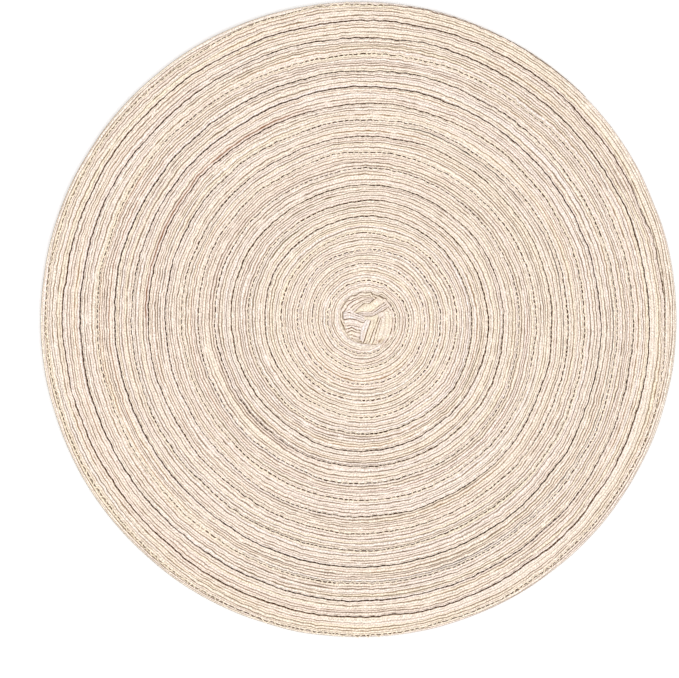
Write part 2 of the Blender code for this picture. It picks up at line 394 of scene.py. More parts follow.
def rib_places(grooves, rib_points, heights, shades):
    """Where the top points lie across a tape, from 0 to 1, with the rib each is on, its drop and
    its
    painted light: lighter on the crown, painted shade towards the sides. The rib number is -1 in a
    hollow."""
    edges = (0.0, *grooves, 1.0)
    across, rib, height, shade = [0.0], [-1], [0.0], [1.0]
    for number, (low, high) in enumerate(zip(edges, edges[1:])):
        across += [low + (high - low) * share for share in rib_points] + [high]
        rib += [number] * len(rib_points) + [-1]
        height += [*heights, 0.0]
        shade += [*shades, 1.0]
    return np.array(across), np.array(rib), np.array(height), np.array(shade)


across, rib, rib_height, rib_painted_light = rib_places(GROOVES, RIB_POINTS, RIB_HEIGHTS, RIB_PAINTED_LIGHT)
hollows = np.where(rib < 0)[0]
points_per_yarn = len(RIB_POINTS) + 1
middle, outer_edge = len(across) // 2, len(across) - 1


def spread_to_flanks(dark, colour, columns, share):
    """Carries a share of each hollow's painted shade, and its colour, to the points beside it, as
    painted shade on the yarn's sides. A very dark hollow is a wide one, and gives them more."""
    for column in columns:
        wide = np.maximum(dark[:, column] - WIDE_FROM, 0)
        for flank in (column - 1, column + 1):
            dark[:, flank] = share * dark[:, column] + WIDE_SHARE * wide
            colour[:, flank] = colour[:, column]


def warm_hollow_sides(colour, dark, columns, reach):
    """Makes each hollow and the points within reach of it warmer, in step with its darkness, as
    light that has bounced from yarn to yarn does: less green, and less blue still."""
    nearest = np.zeros(dark.shape)
    for column in columns:
        beside = slice(max(column - reach, 0), column + reach + 1)
        nearest[:, beside] = np.maximum(nearest[:, beside], dark[:, column][:, None])
    return colour * (1 - nearest[:, :, None] * WARM_LOSS)


def hollow_shades(turn, place):
    """How dark each point across the tape is painted, and in which colour: the hollows' usual
    painted shade, partly darker thread, then the dark runs, painted shade in the needle holes, and
    the seams' painted shadow, partly dark thread, in brown at both edges."""
    dark = np.zeros((len(turn), len(across)))
    colour = np.zeros((len(turn), len(across), 3)) + np.array(BROWN)
    for number, usual in enumerate(GROOVE_DARK):
        golden = np.clip(GOLDEN_SHARE + drift(place, GOLDEN_DRIFT, number), 0, 1)
        colour[:, hollows[number + 1]] = mix(BROWN, OCHRE, golden)
        usual = np.clip(usual + drift(place, HOLLOW_DRIFT, number), *HOLLOW_RANGE)
        dark[:, hollows[number + 1]] = usual * (1 + drift(place, HOLLOW_FLICKER, number))
    for number, start, stop, depth, run_colour in DARK_RUNS:
        column = hollows[number + 1]
        here = np.clip((turn - start) / RUN_FADE, 0, 1) * np.clip((stop - turn) / RUN_FADE, 0, 1)
        shown = depth * (1 + drift(place, RUN_FLICKER, number))
        dark[:, column] = dark[:, column] * (1 - here) + shown * here
        colour[:, column] = mix(colour[:, column], run_colour, here)
    dark[:, hollows[1]] += NEEDLE_HOLE_DARK * needle_hole(turn, 1)
    dark[:, hollows[-2]] += NEEDLE_HOLE_DARK * needle_hole(turn + 1, -1)
    spread_to_flanks(dark, colour, hollows[1:-1], FLANK_SHARE)
    dark = np.clip(dark, 0, 1)
    for column, flank, seam_turn in ((0, 1, turn), (-1, -2, turn + 1)):
        warm = np.interp(seam_turn, SEAM_WARM_TURNS, SEAM_WARM)
        lip_dark = LIP_DARK + LIP_DARK_IF_WARM * warm
        dark[:, column] = np.clip(seam_darkness(seam_turn) * lip_dark, 0, 1)
        dark[:, flank] = LIP_FLANK_SHARE * dark[:, column]
    return dark, colour


def yarn_shades(turn, place):
    """Each yarn's colour along the tape, drifting between pink, yellow and lilac cream: whiter
    beside a black seam, yellower in the last turn, and with painted light, lighter along its crown
    and painted shade on its sides."""
    colour = np.zeros((len(turn), len(across), 3))
    warm = np.clip((turn - WARM_LAST_TURN[0]) / (WARM_LAST_TURN[1] - WARM_LAST_TURN[0]), 0, 1)
    for number in range(len(hollows) - 1):
        yellow = YELLOW_SHARE + LAST_TURN_YELLOW * warm + drift(place, YELLOW_DRIFT, number)
        lilac = LILAC_SHARE + drift(place, LILAC_DRIFT, number)
        yarn = mix(PINK_CREAM, YELLOW_CREAM, np.clip(yellow, 0, 1))
        yarn = mix(yarn, LILAC_WHITE, np.clip(lilac, 0, 1))
        yarn = yarn * (1 + drift(place, LIGHT_DRIFT, number))[:, None]
        colour[:, hollows[number]:hollows[number + 1] + 1] = yarn[:, None, :]
    rim_share = np.clip((turn - LAST_SEAM_TURNS[0]) / RIM_LIFT_FADE, 0, 1)[:, None, None]
    colour[:, hollows[RIM_FROM_HOLLOW]:] *= 1 + rim_share * np.array(RIM_LIFT)
    edge_yarns = slice(1, points_per_yarn), slice(-points_per_yarn, -1)
    for edge_yarn, seam_turn in zip(edge_yarns, (turn, turn + 1)):
        black = 1 - np.interp(seam_turn, SEAM_WARM_TURNS, SEAM_WARM)
        lilac = LILAC_AT_BLACK_SEAM * black * seam_strength(seam_turn)
        colour[:, edge_yarn] = mix(colour[:, edge_yarn], LILAC_WHITE, lilac[:, None] * np.ones(3))
    return colour * rib_painted_light[:, None]


def tape_edges(turn, place):
    """Plan points of the tape's inner and outer edge at each turn, and whether the outer one is the
    rim. The start lies on a small circle under the knot, each turn lies between one seam and the
    next, and the last one goes over to the rim."""
    angle = START_ANGLE - 2 * np.pi * turn
    out = np.stack([np.cos(angle), np.sin(angle)], -1)
    tuck = np.array(KNOT_CENTRE) + TUCK_RADIUS * out
    inner = np.where((turn < 0)[:, None], tuck, seam_line(turn) + seam_wobble(turn)[:, None] * out)
    outer = seam_line(np.minimum(turn + 1, LAST_SEAM_TURNS[-1]))
    outer = outer + seam_wobble(turn + 1)[:, None] * out
    rim = (RIM_RADIUS + drift(place, RIM_BENDS)[:, None]) * out
    rim_share = np.clip((turn - LAST_SEAM_TURNS[0]) / RIM_JOIN_TURNS + 0.5, 0, 1)
    outer = outer * (1 - rim_share[:, None]) + rim * rim_share[:, None]
    return inner, outer, rim_share > 0.5


def shares_across(turn, place, width):
    """Where each top point lies, from 0 at the inner edge to 1 at the outer. The hollows stray, and
    a needle hole pulls the outermost ones towards the middle. Then the start and the last turn are
    pushed under their inner edge where they have less than full width. Returns the places before
    that, the places after it, and which points end up buried."""
    shift = np.zeros((len(turn), len(across)))
    for number, column in enumerate(hollows[1:-1]):
        stray = drift(place, GROOVE_WANDER, number)
        if number == 0:
            stray -= NEEDLE_HOLE_PULL * needle_hole(turn, 1)
        if number == len(GROOVES) - 1:
            stray += NEEDLE_HOLE_PULL * needle_hole(turn + 1, -1)
        yarns_away = np.abs(np.arange(len(across)) - column) / points_per_yarn
        shift += stray[:, None] * np.clip(1 - yarns_away, 0, 1)
    moved = across + shift
    narrow = (turn < 0) | (turn > LAST_SEAM_TURNS[0])
    squeeze = np.where(narrow[:, None], np.maximum(TAPE_FULL_WIDTH / width, 1), 1)
    share = 1 - (1 - moved) * squeeze
    least = LEAST_SPREAD * np.arange(len(across)) / len(across)
    return moved, np.maximum(share, least), share < least


def top_heights(place, moved, dark):
    """Height of each top point: the crown's, lower towards both edges by the cube of the distance
    from the middle, with each rib's own shape and drift, cut in at the hollows in step with their
    darkness, and sunk at the two edges."""
    z = CROWN_Z - SHOULDER_DROP * np.abs(2 * moved - 1) ** 3 + rib_height
    for number in range(len(hollows) - 1):
        z[:, rib == number] += drift(place, RIB_LIFT, number)[:, None]
    cut = np.interp(dark, (0, DEEPEST_AT_DARKNESS), GROOVE_DEPTHS)
    z[:, hollows[1:-1]] -= cut[:, hollows[1:-1]]
    z[:, (0, -1)] -= EDGE_SINK
    return z


def close_rings(inner, outer, top, z):
    """Rings of points: the top points, each at its distance across from the inner edge and its
    height, then down the outer side, back along a ribbed underside, and up the inner side."""
    width = np.linalg.norm(outer - inner, axis=1)[:, None]
    under = np.linspace(1 - UNDERSIDE_MARGIN, UNDERSIDE_MARGIN, UNDERSIDE_POINTS)
    under_z = np.where(np.arange(UNDERSIDE_POINTS) % 2 == 0, 0.0, UNDERSIDE_GROOVE_Z)
    one = np.ones_like(width)
    ring_across = np.concatenate([
        top, width - EDGE_CLEARANCE, width - EDGE_FOOT_INSET, under * width,
        EDGE_FOOT_INSET * one, EDGE_CLEARANCE * one,
    ], axis=1)
    meet_z, foot_z = EDGE_MEET_Z * one, EDGE_FOOT_Z * one
    ring_z = np.concatenate([z, meet_z, foot_z, under_z * one, foot_z, meet_z], axis=1)
    unit = (outer - inner) / width
    plan = inner[:, None, :] + ring_across[:, :, None] * unit[:, None, :]
    return np.concatenate([plan, ring_z[:, :, None]], axis=2)


def close_colours(colour, on_rim):
    """Colours of the same rings: the top's, each side like the edge above it, and the underside
    like the middle yarn with a little painted shade, more in its grooves. Along the rim the outer
    foot has painted shade, mixed towards brown."""
    under_colour = colour[:, middle:middle + 1] * np.array(UNDERSIDE_PAINTED_SHADE)
    under_colour = np.repeat(under_colour, UNDERSIDE_POINTS, axis=1)
    groove_painted_shade = UNDERSIDE_GROOVE_PAINTED_SHADE * np.ones(UNDERSIDE_POINTS // 2)
    under_colour[:, 1::2] = mix(under_colour[:, 1::2], BROWN, groove_painted_shade)
    edge_out, edge_in = colour[:, -1:], colour[:, :1]
    rim_foot_painted_shade = mix(colour[:, -3:-2], BROWN, RIM_FOOT_PAINTED_SHADE)
    foot_out = np.where(on_rim[:, None, None], rim_foot_painted_shade, edge_out)
    return np.concatenate([colour, edge_out, foot_out, under_colour, edge_in, edge_in], axis=1)


def sewing_values(turn, place, on_rim, around):
    """Four values for each point of the rings: how much shadow is painted in the open seam there,
    partly its dark thread, how far its stitches break that up, the stitches sewn so far, and how
    warm the seam is. Only the points that face a seam, and the lip beside each edge, get that
    painted shadow."""
    sewing = np.zeros((len(turn), around, 4))
    inner_side, inner_lip = (0, -2, -1), 1
    outer_side, outer_lip = (outer_edge, outer_edge + 1, outer_edge + 2), outer_edge - 1
    sides = ((inner_side, inner_lip, turn), (outer_side, outer_lip, turn + 1))
    for (facing, lip, seam_turn), lip_share in zip(sides, SEAM_SHADOW_REACH):
        seam_dark = seam_darkness(seam_turn)
        shadow = np.clip(SEAM_SHADOW * seam_dark, 0, 1)
        bold = np.clip((seam_dark - BOLD_FROM) / BOLD_SPAN, 0, 1)
        sewing[:, facing, 0] = shadow[:, None]
        sewing[:, lip, 0] = (lip_share + BOLD_REACH * bold) * shadow
    sewing[on_rim, outer_lip:outer_side[-1] + 1, 0] = 0
    sewing[turn < 0, 0:inner_lip + 1, 0] *= TUCK_SEAM_SHARE

    column = np.arange(around)
    near_outer = (column > middle) & (column <= outer_side[-1] + 1 + UNDERSIDE_POINTS // 2)
    seam_dark = np.interp(turn[:, None] + near_outer, SEAM_DARK_TURNS, SEAM_DARK)
    patches = drift(place[:, None] + OTHER_SIDE_SHIFT * near_outer, BREAK_PATCHES)
    sewing[:, :, 1] = np.clip(BREAK_LEVEL - BREAK_LESS_IF_DARK * seam_dark + patches, *BREAK_RANGE)
    sewing[:, :, 2] = stitch_count(turn)[:, None]
    sewing[:, near_outer, 2] = stitch_count(turn + 1)[:, None]
    sewing[:, :, 3] = np.interp(turn[:, None] + near_outer, SEAM_WARM_TURNS, SEAM_WARM)
    return sewing


def tape_rows(turn):
    """Rings of points round the tape at each turn, with their colours, their sewing and the place
    of each ring along the seam."""
    place = np.interp(turn, many_turns, seam_places)
    inner, outer, on_rim = tape_edges(turn, place)
    width = np.linalg.norm(outer - inner, axis=1)[:, None]
    moved, share, buried = shares_across(turn, place, width)
    from_knot = np.linalg.norm(inner - np.array(KNOT_CENTRE), axis=1)[:, None] + share * width

    dark, hollow_colour = hollow_shades(turn, place)
    in_view = np.clip((from_knot - FAINT_RADIUS) / KNOT_FADE, 0, 1)
    in_view = np.where((turn < 0)[:, None], in_view, 1)
    dark = dark * (FAINT_DARKNESS + (1 - FAINT_DARKNESS) * in_view)
    # Painted shade on the rim's outer edge, where the yarn turns down away from the light.
    dark[on_rim, -1] = RIM_WALL_PAINTED_SHADE
    yarn = yarn_shades(turn, place) * (FAINT_SHADE + (1 - FAINT_SHADE) * in_view)[:, :, None]
    # The hollows' painted shade, partly darker thread, is mixed into the yarns here.
    colour = warm_hollow_sides(mix(yarn, hollow_colour, dark), dark, hollows, 1)

    z = top_heights(place, moved, dark)
    z[buried] = BURIED_Z
    z -= KNOT_DIP * np.clip((KNOT_REACH - from_knot) / KNOT_FADE, 0, 1) * (turn < 1)[:, None]
    z = np.maximum(z, BURIED_Z)
    gap_in = np.where(turn < 0, TUCK_GAP, seam_gap(turn))[:, None]
    gap_out = np.where(on_rim, RIM_WALL_INSET, seam_gap(turn + 1))[:, None]
    top = np.maximum(share * width, gap_in + POINT_SPACING * np.arange(len(across)))
    top[:, -1:] = width - gap_out
    last_yarn = slice(-points_per_yarn, -1)
    top[:, last_yarn] = np.minimum(top[:, last_yarn], width - gap_out - LIP_SPACING)

    points = close_rings(inner, outer, top, z)
    sewing = sewing_values(turn, place, on_rim, points.shape[1])
    return points, close_colours(colour, on_rim), sewing, place


def distances_round(ring):
    """Distance round a ring of points from its first, with the whole way round at the end."""
    hops = np.linalg.norm(np.roll(ring, -1, axis=0) - ring, axis=1)
    return np.concatenate([[0], np.cumsum(hops)])


def put_grid(name, points, colours, along, round_it):
    """Makes a closed tube mesh of rings of points. Each ring is a loop, the rings follow one
    another, and flat caps close both ends. A UV map holds the distances along and round the tube,
    and an attribute the colours."""
    rings, around = points.shape[:2]
    ring, point = np.meshgrid(np.arange(rings - 1), np.arange(around), indexing="ij")
    after = (point + 1) % around
    quads = np.stack([ring * around + point, (ring + 1) * around + point,
                      (ring + 1) * around + after, ring * around + after], -1).reshape(-1, 4)
    first_cap = np.arange(around)
    last_cap = (rings - 1) * around + np.arange(around)[::-1]
    loops = np.concatenate([quads.ravel(), first_cap, last_cap])
    starts = np.concatenate([np.arange(len(quads)) * 4, [len(quads) * 4, len(quads) * 4 + around]])
    mesh = bpy.data.meshes.new(name)
    mesh.vertices.add(rings * around)
    mesh.vertices.foreach_set("co", points.astype(np.float32).ravel())
    mesh.loops.add(len(loops))
    mesh.loops.foreach_set("vertex_index", loops.astype(np.int32))
    mesh.polygons.add(len(starts))
    mesh.polygons.foreach_set("loop_start", starts.astype(np.int32))
    smooth = np.ones(len(starts), bool)
    smooth[-2:] = False
    mesh.polygons.foreach_set("use_smooth", smooth)
    mesh.update(calc_edges=True)

    u = np.stack([along[ring], along[ring + 1], along[ring + 1], along[ring]], -1)
    v = np.stack([round_it[point], round_it[point], round_it[point + 1], round_it[point + 1]], -1)
    first_uv = np.stack([np.full(around, along[0]), round_it[:-1]], -1)
    last_uv = np.stack([np.full(around, along[-1]), round_it[:-1][::-1]], -1)
    uv = np.concatenate([np.stack([u, v], -1).reshape(-1, 2), first_uv, last_uv])
    layer = mesh.uv_layers.new(name="along_and_round")
    layer.data.foreach_set("uv", uv.astype(np.float32).ravel())
    # The colours carry the painted light and shade that is worked into them.
    paint = mesh.attributes.new("yarn_colour_and_painted_light", "FLOAT_COLOR", "POINT")
    rgba = np.concatenate([colours, np.ones((rings, around, 1))], axis=2)
    paint.data.foreach_set("color", rgba.astype(np.float32).ravel())
    piece = bpy.data.objects.new(name, mesh)
    bpy.context.scene.collection.objects.link(piece)
    return piece


def map_range(nodes, links, value, in_range, out_range, soft=False):
    """A node that carries a value from one range to another, and stops at its ends."""
    node = nodes.new("ShaderNodeMapRange")
    node.interpolation_type = "SMOOTHSTEP" if soft else "LINEAR"
    node.inputs["From Min"].default_value, node.inputs["From Max"].default_value = in_range
    node.inputs["To Min"].default_value, node.inputs["To Max"].default_value = out_range
    links.new(value, node.inputs["Value"])
    return node.outputs["Result"]


def arithmetic(nodes, links, operation, *values):
    """A maths node. Each value is a number or another node's output."""
    node = nodes.new("ShaderNodeMath")
    node.operation = operation
    for socket, value in zip(node.inputs, values):
        if isinstance(value, bpy.types.NodeSocket):
            links.new(value, socket)
        else:
            socket.default_value = value
    return node.outputs["Value"]


def colour_mix(nodes, links, share, first, second):
    """A node that blends two colours by a share. Each colour is fixed or another node's output."""
    node = nodes.new("ShaderNodeMix")
    node.data_type = "RGBA"
    share_socket, first_socket, second_socket = node.inputs[0], node.inputs[6], node.inputs[7]
    links.new(share, share_socket)
    for socket, colour in ((first_socket, first), (second_socket, second)):
        if isinstance(colour, bpy.types.NodeSocket):
            links.new(colour, socket)
        else:
            socket.default_value = colour
    return node.outputs[2]


def noise(nodes, links, place, scale, detail):
    """A flat noise with its own scale along and round the yarns."""
    mapping = nodes.new("ShaderNodeMapping")
    mapping.inputs["Scale"].default_value = (*scale, 1)
    links.new(place, mapping.inputs["Vector"])
    node = nodes.new("ShaderNodeTexNoise")
    node.noise_dimensions = "2D"
    node.inputs["Scale"].default_value = 1.0
    node.inputs["Detail"].default_value = detail
    links.new(mapping.outputs["Vector"], node.inputs["Vector"])
    return node.outputs["Fac"]


# The yarn's surface is dull, with a thin warm fuzz. Its fibres, twist and mottles each darken and
# lighten it between two shares, and its twist and fibres stand up a little.
YARN_ROUGHNESS, YARN_SHINE = 0.88, 0.0
FUZZ, FUZZ_ROUGHNESS, FUZZ_TINT = 0.02, 0.5, (1.0, 0.86, 0.72, 1)
NOISE_SPREAD = (0.3, 0.7)
FIBRE_SHADES, FIBRE_DETAIL = (0.92, 1.07), 3.0
MOTTLE_LIGHT_SHARE, MOTTLE_DETAIL = 0.8, 2.0
TWIST_SHADES, TWIST_DETAIL = (0.94, 1.03), 2.0
TWIST_SLANT, TWIST_BEND = np.radians(38), 3.5
TWIST_HEIGHT = 1.2
SURFACE_STRENGTH, SURFACE_HEIGHT = 0.5, 0.00012
# A dash of shadow in a seam reaches a share of a stitch from its middle, and fades past its end.
# Each dash has a chance number from 0 to 1, which makes it longer and stronger.
DASH_LEAST_REACH, DASH_MORE_REACH = 0.10, 0.24
DASH_FADE = (-0.04, 0.08)
DASH_CHANCES, DASH_STRENGTHS = (0.12, 0.75), (0.05, 1.0)


def yarn_material(name, fibre_scale, twist_scale, mottle_scale, mottle):
    """Soft cotton yarn: the painted colour with fine lengthwise fibres, a slanting twist and small
    mottles, dull and a little fuzzy. Distances come from the UV map, in metres along and round the
    yarns."""
    material = bpy.data.materials.new(name)
    material.use_nodes = True
    nodes, links = material.node_tree.nodes, material.node_tree.links
    shader = nodes["Principled BSDF"]
    shader.inputs["Roughness"].default_value = YARN_ROUGHNESS
    shader.inputs["Specular IOR Level"].default_value = YARN_SHINE
    shader.inputs["Sheen Weight"].default_value = FUZZ
    shader.inputs["Sheen Roughness"].default_value = FUZZ_ROUGHNESS
    shader.inputs["Sheen Tint"].default_value = FUZZ_TINT
    uv = nodes.new("ShaderNodeUVMap")
    uv.uv_map = "along_and_round"
    paint = nodes.new("ShaderNodeAttribute")
    paint.attribute_name = "yarn_colour_and_painted_light"

    fibre = noise(nodes, links, uv.outputs["UV"], fibre_scale, FIBRE_DETAIL)
    spots = noise(nodes, links, uv.outputs["UV"], mottle_scale, MOTTLE_DETAIL)
    twist_place = nodes.new("ShaderNodeMapping")
    twist_place.inputs["Rotation"].default_value = (0, 0, TWIST_SLANT)
    twist = nodes.new("ShaderNodeTexWave")
    twist.inputs["Scale"].default_value = twist_scale
    twist.inputs["Distortion"].default_value = TWIST_BEND
    twist.inputs["Detail"].default_value = TWIST_DETAIL
    twist.inputs["Detail Scale"].default_value = TWIST_DETAIL
    links.new(uv.outputs["UV"], twist_place.inputs["Vector"])
    links.new(twist_place.outputs["Vector"], twist.inputs["Vector"])

    spot_shades = (1.0 - mottle, 1.0 + MOTTLE_LIGHT_SHARE * mottle)
    fibre_shade = map_range(nodes, links, fibre, NOISE_SPREAD, FIBRE_SHADES)
    twist_shade = map_range(nodes, links, twist.outputs["Fac"], (0.0, 1.0), TWIST_SHADES)
    spot_shade = map_range(nodes, links, spots, NOISE_SPREAD, spot_shades)
    shade = arithmetic(nodes, links, "MULTIPLY", fibre_shade, twist_shade)
    shade = arithmetic(nodes, links, "MULTIPLY", shade, spot_shade)
    tinted = nodes.new("ShaderNodeVectorMath")
    tinted.operation = "SCALE"
    links.new(paint.outputs["Color"], tinted.inputs[0])
    links.new(shade, tinted.inputs["Scale"])
    links.new(tinted.outputs["Vector"], shader.inputs["Base Color"])

    height = arithmetic(nodes, links, "MULTIPLY_ADD", twist.outputs["Fac"], TWIST_HEIGHT, fibre)
    bump = nodes.new("ShaderNodeBump")
    bump.inputs["Strength"].default_value = SURFACE_STRENGTH
    bump.inputs["Distance"].default_value = SURFACE_HEIGHT
    links.new(height, bump.inputs["Height"])
    links.new(bump.outputs["Normal"], shader.inputs["Normal"])
    return material


def darken_seams(material):
    """Paints the open seam's shadow, partly its dark thread, into a yarn material. The shadow is a
    dash between each stitch and the next: full at the middle of the dash, and gone under the
    thread. Dashes vary in length and in strength, by a chance number for each stitch. The shadow
    runs from black to brown as it warms."""
    nodes, links = material.node_tree.nodes, material.node_tree.links
    shader = nodes["Principled BSDF"]
    yarn = shader.inputs["Base Color"].links[0].from_socket
    sewing = nodes.new("ShaderNodeAttribute")
    sewing.attribute_name = "sewing"
    parts = nodes.new("ShaderNodeSeparateXYZ")
    links.new(sewing.outputs["Vector"], parts.inputs["Vector"])
    darkness, break_up, stitches = (parts.outputs[part] for part in "XYZ")
    warmth = sewing.outputs["Alpha"]

    chance = nodes.new("ShaderNodeTexWhiteNoise")
    chance.noise_dimensions = "1D"
    links.new(arithmetic(nodes, links, "FLOOR", stitches), chance.inputs["W"])
    chance = chance.outputs["Value"]
    fraction = arithmetic(nodes, links, "FRACT", stitches)
    from_middle = arithmetic(nodes, links, "SUBTRACT", fraction, 0.5)
    from_middle = arithmetic(nodes, links, "ABSOLUTE", from_middle)
    reach = arithmetic(nodes, links, "MULTIPLY_ADD", chance, DASH_MORE_REACH, DASH_LEAST_REACH)
    past_end = arithmetic(nodes, links, "SUBTRACT", from_middle, reach)
    dash = map_range(nodes, links, past_end, DASH_FADE, (1.0, 0.0), soft=True)
    strength = map_range(nodes, links, chance, DASH_CHANCES, DASH_STRENGTHS)
    dash = arithmetic(nodes, links, "MULTIPLY", dash, strength)

    gone = arithmetic(nodes, links, "SUBTRACT", 1.0, dash)
    gone = arithmetic(nodes, links, "MULTIPLY", break_up, gone)
    kept = arithmetic(nodes, links, "SUBTRACT", 1.0, gone)
    shadow = arithmetic(nodes, links, "MULTIPLY", darkness, kept)
    seam_colour = colour_mix(nodes, links, warmth, SEAM_BLACK, SEAM_BROWN)
    links.new(colour_mix(nodes, links, shadow, yarn, seam_colour), shader.inputs["Base Color"])


tape_yarn = yarn_material(
    "soft cotton yarn",
    fibre_scale=(420, 5200), twist_scale=190.0, mottle_scale=(1100, 1500), mottle=0.30,
)
darken_seams(tape_yarn)
place_start, place_end = np.interp((TAPE_START_TURN, TAPE_END_TURN), many_turns, seam_places)
tape_places = np.linspace(place_start, place_end, int((place_end - place_start) / STEP_LENGTH) + 1)
tape_turns = np.interp(tape_places, seam_places, many_turns)
full_ring = tape_rows(np.array([FULL_WIDTH_TURN]))[0][0]
cuts = np.linspace(0, len(tape_turns) - 1, LENGTHS_OF_TAPE + 1).astype(int)
for number, (first, last) in enumerate(zip(cuts, cuts[1:]), 1):
    points, colours, sewing, place = tape_rows(tape_turns[first:last + 1])
    tape = put_grid(f"tape_length_{number}", points, colours, place, distances_round(full_ring))
    # The sewing attribute holds the seam's painted shadow, how far the stitches break it up, the
    # stitches sewn so far and how warm the seam is.
    sewn = tape.data.attributes.new("sewing", "FLOAT_COLOR", "POINT")
    sewn.data.foreach_set("color", sewing.astype(np.float32).ravel())
    tape.data.materials.append(tape_yarn)
    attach(tape, "root")
    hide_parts("mat")


# ---------------------------------------------------------------------------------------------
# Sewing thread. One yellowish cream thread joins each turn of the tape to the next in a zigzag.
# It dives into a hollow of one tape, crosses the seam at the end of each dash of shadow, and
# dives into the other tape.
THREAD_RADIUS = 0.00028
THREAD_START_TURN, THREAD_END_TURN = 0.05, 17.95
THREAD_POINTS_PER_STITCH = 3
# How far it swings to each side. It dives at the ends of the swing, from HOLE_SWING of the way,
# and it is pulled in deeper where the seam is strong, and painted darker there, partly stain and
# partly the seam's shade.
THREAD_REACH, THREAD_REACH_DRIFT = 0.00125, ((0.12, 1.0, 21),)
HOLE_SWING = 0.9
THREAD_HOLE_Z, THREAD_TOP_Z = 0.00295, 0.00340
THREAD_LIFT = ((0.00003, 1.0, 22),)
THREAD_SINK = 0.00052
THREAD_CREAM = (0.880, 0.770, 0.610)
THREAD_SHADE_DRIFT = ((0.08, 3.0, 23),)
THREAD_STAIN_AND_SHADE = 0.8

stitch_range = stitch_count(np.array([THREAD_START_TURN, THREAD_END_TURN]))
first_hole, last_hole = np.ceil(stitch_range[0]) + 0.5, np.floor(stitch_range[1]) - 0.5
thread_steps = int(round(THREAD_POINTS_PER_STITCH * (last_hole - first_hole)))
thread_stitches = np.linspace(first_hole, last_hole, thread_steps + 1)
thread_turns = np.interp(thread_stitches, stitch_count(many_turns), many_turns)
thread_places = np.interp(thread_turns, many_turns, seam_places)
thread_angle = START_ANGLE - 2 * np.pi * thread_turns
thread_out = np.stack([np.cos(thread_angle), np.sin(thread_angle)], -1)
swing = np.arcsin(np.sin(np.pi * thread_stitches)) * 2 / np.pi
reach = THREAD_REACH * (1 + drift(thread_stitches, THREAD_REACH_DRIFT))
stray = seam_wobble(thread_turns) + swing * reach
thread_plan = seam_line(thread_turns) + stray[:, None] * thread_out
thread_z = np.where(np.abs(swing) > HOLE_SWING, THREAD_HOLE_Z, THREAD_TOP_Z)
pulled_in = seam_strength(thread_turns)
thread_z = thread_z + drift(thread_stitches, THREAD_LIFT) - THREAD_SINK * pulled_in
thread_path = np.concatenate([thread_plan, thread_z[:, None]], axis=1)


def thread_rings(path, radius):
    """Rings of four points round a path: left, top, right and bottom of it, square to its
    direction."""
    direction = np.gradient(path, axis=0)
    direction /= np.linalg.norm(direction, axis=1)[:, None]
    side = np.cross(direction, (0, 0, 1.0))
    side /= np.linalg.norm(side, axis=1)[:, None]
    up = np.cross(side, direction)
    return path[:, None, :] + radius * np.stack([side, up, -side, -up], axis=1)


thread_shade = 1 + drift(thread_stitches, THREAD_SHADE_DRIFT)
thread_cream = np.array(THREAD_CREAM) * thread_shade[:, None]
# Where the seam is strong the thread is painted towards brown: partly stain, partly the seam's
# shade.
thread_colours = mix(thread_cream, BROWN, THREAD_STAIN_AND_SHADE * pulled_in)
thread_colours = thread_colours[:, None, :] * np.ones((1, 4, 1))
rings = thread_rings(thread_path, THREAD_RADIUS)
thread = put_grid("sewing_thread", rings, thread_colours, thread_places, distances_round(rings[0]))
thread_yarn = yarn_material(
    "fine sewing thread",
    fibre_scale=(1500, 9000), twist_scale=500.0, mottle_scale=(900, 900), mottle=0.05,
)
thread.data.materials.append(thread_yarn)
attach(thread, "root")
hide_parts("mat")


# ---------------------------------------------------------------------------------------------
# Knot. The start of the tape is folded over and under itself into a small round pinwheel, with
# its yarns running a different way in each fold. The folds lie on a round bed of the same tape,
# and each one's ends are tucked under its neighbours.
BED_RADII = (0.0005, 0.0045, 0.0070, 0.0120, 0.0150, 0.0158, 0.0160, 0.0157, 0.0080, 0.0005)
BED_HEIGHTS = (0.0036, 0.0036, 0.0032, 0.0030, 0.0028, 0.0022, 0.0012, 0.0000, 0.0000, 0.0000)
BED_POINTS, BED_POINT_SPACING = 96, 0.001
# Painted shade on the bed's sloping edge, where it goes down under the folds: brown mixed in
# between these radii.
BED_SHADE_RADII, BED_EDGE_PAINTED_SHADE = (0.0135, 0.0155), (0.06, 0.66)

FOLD_STEP = 0.0005
FOLD_THICKNESS = 0.0011
FOLD_TUCK_LENGTH, FOLD_TUCK_DEPTH = 0.0012, 0.0009
FOLD_SHOULDER_DROP = 0.00015
FOLD_GROOVE_DEPTHS = (0.00015, 0.00045)
FOLD_RIB_POINTS = (0.10, 0.25, 0.50, 0.75, 0.90)
FOLD_RIB_HEIGHTS = (-0.00020, -0.00006, 0.0, -0.00006, -0.00020)
# Painted light across each fold's rib: lighter on its crown, painted shade on its sides.
FOLD_RIB_PAINTED_LIGHT = (0.87, 0.93, 0.97, 0.93, 0.87)
# The yarn's points beside a hollow stay near it, however wide the yarn is: this far from it, or
# this share of the yarn's width if that is less. Those beside a fold's own edge lie further in.
FOLD_SIDE_DISTANCES, FOLD_SIDE_SHARES = (0.00022, 0.00046), (0.15, 0.30)
FOLD_EDGE_DISTANCES, FOLD_EDGE_SHARES = (0.00036, 0.00062), (0.28, 0.44)
# How much of a hollow's painted shade lies on the points beside it, and beside a fold's edge.
FOLD_FLANK_SHARE, FOLD_EDGE_FLANK_SHARE = 0.80, 0.15
# How its lines waver sideways and up and down, and how its hollows and its tones vary along it.
# Each fold has its own seeds.
FOLD_WAVER, FOLD_WAVER_UP, FOLD_WAVER_STEP = 0.00012, 0.00005, 0.0018
FOLD_FLICKER, FOLD_FLICKER_STEP = 0.40, 0.002
FOLD_TONE_DRIFT, FOLD_TONE_STEP = 0.28, 0.006
FOLD_SPECKLE = 0.070
FIRST_FOLD_SEED, SEEDS_PER_FOLD = 40, 5
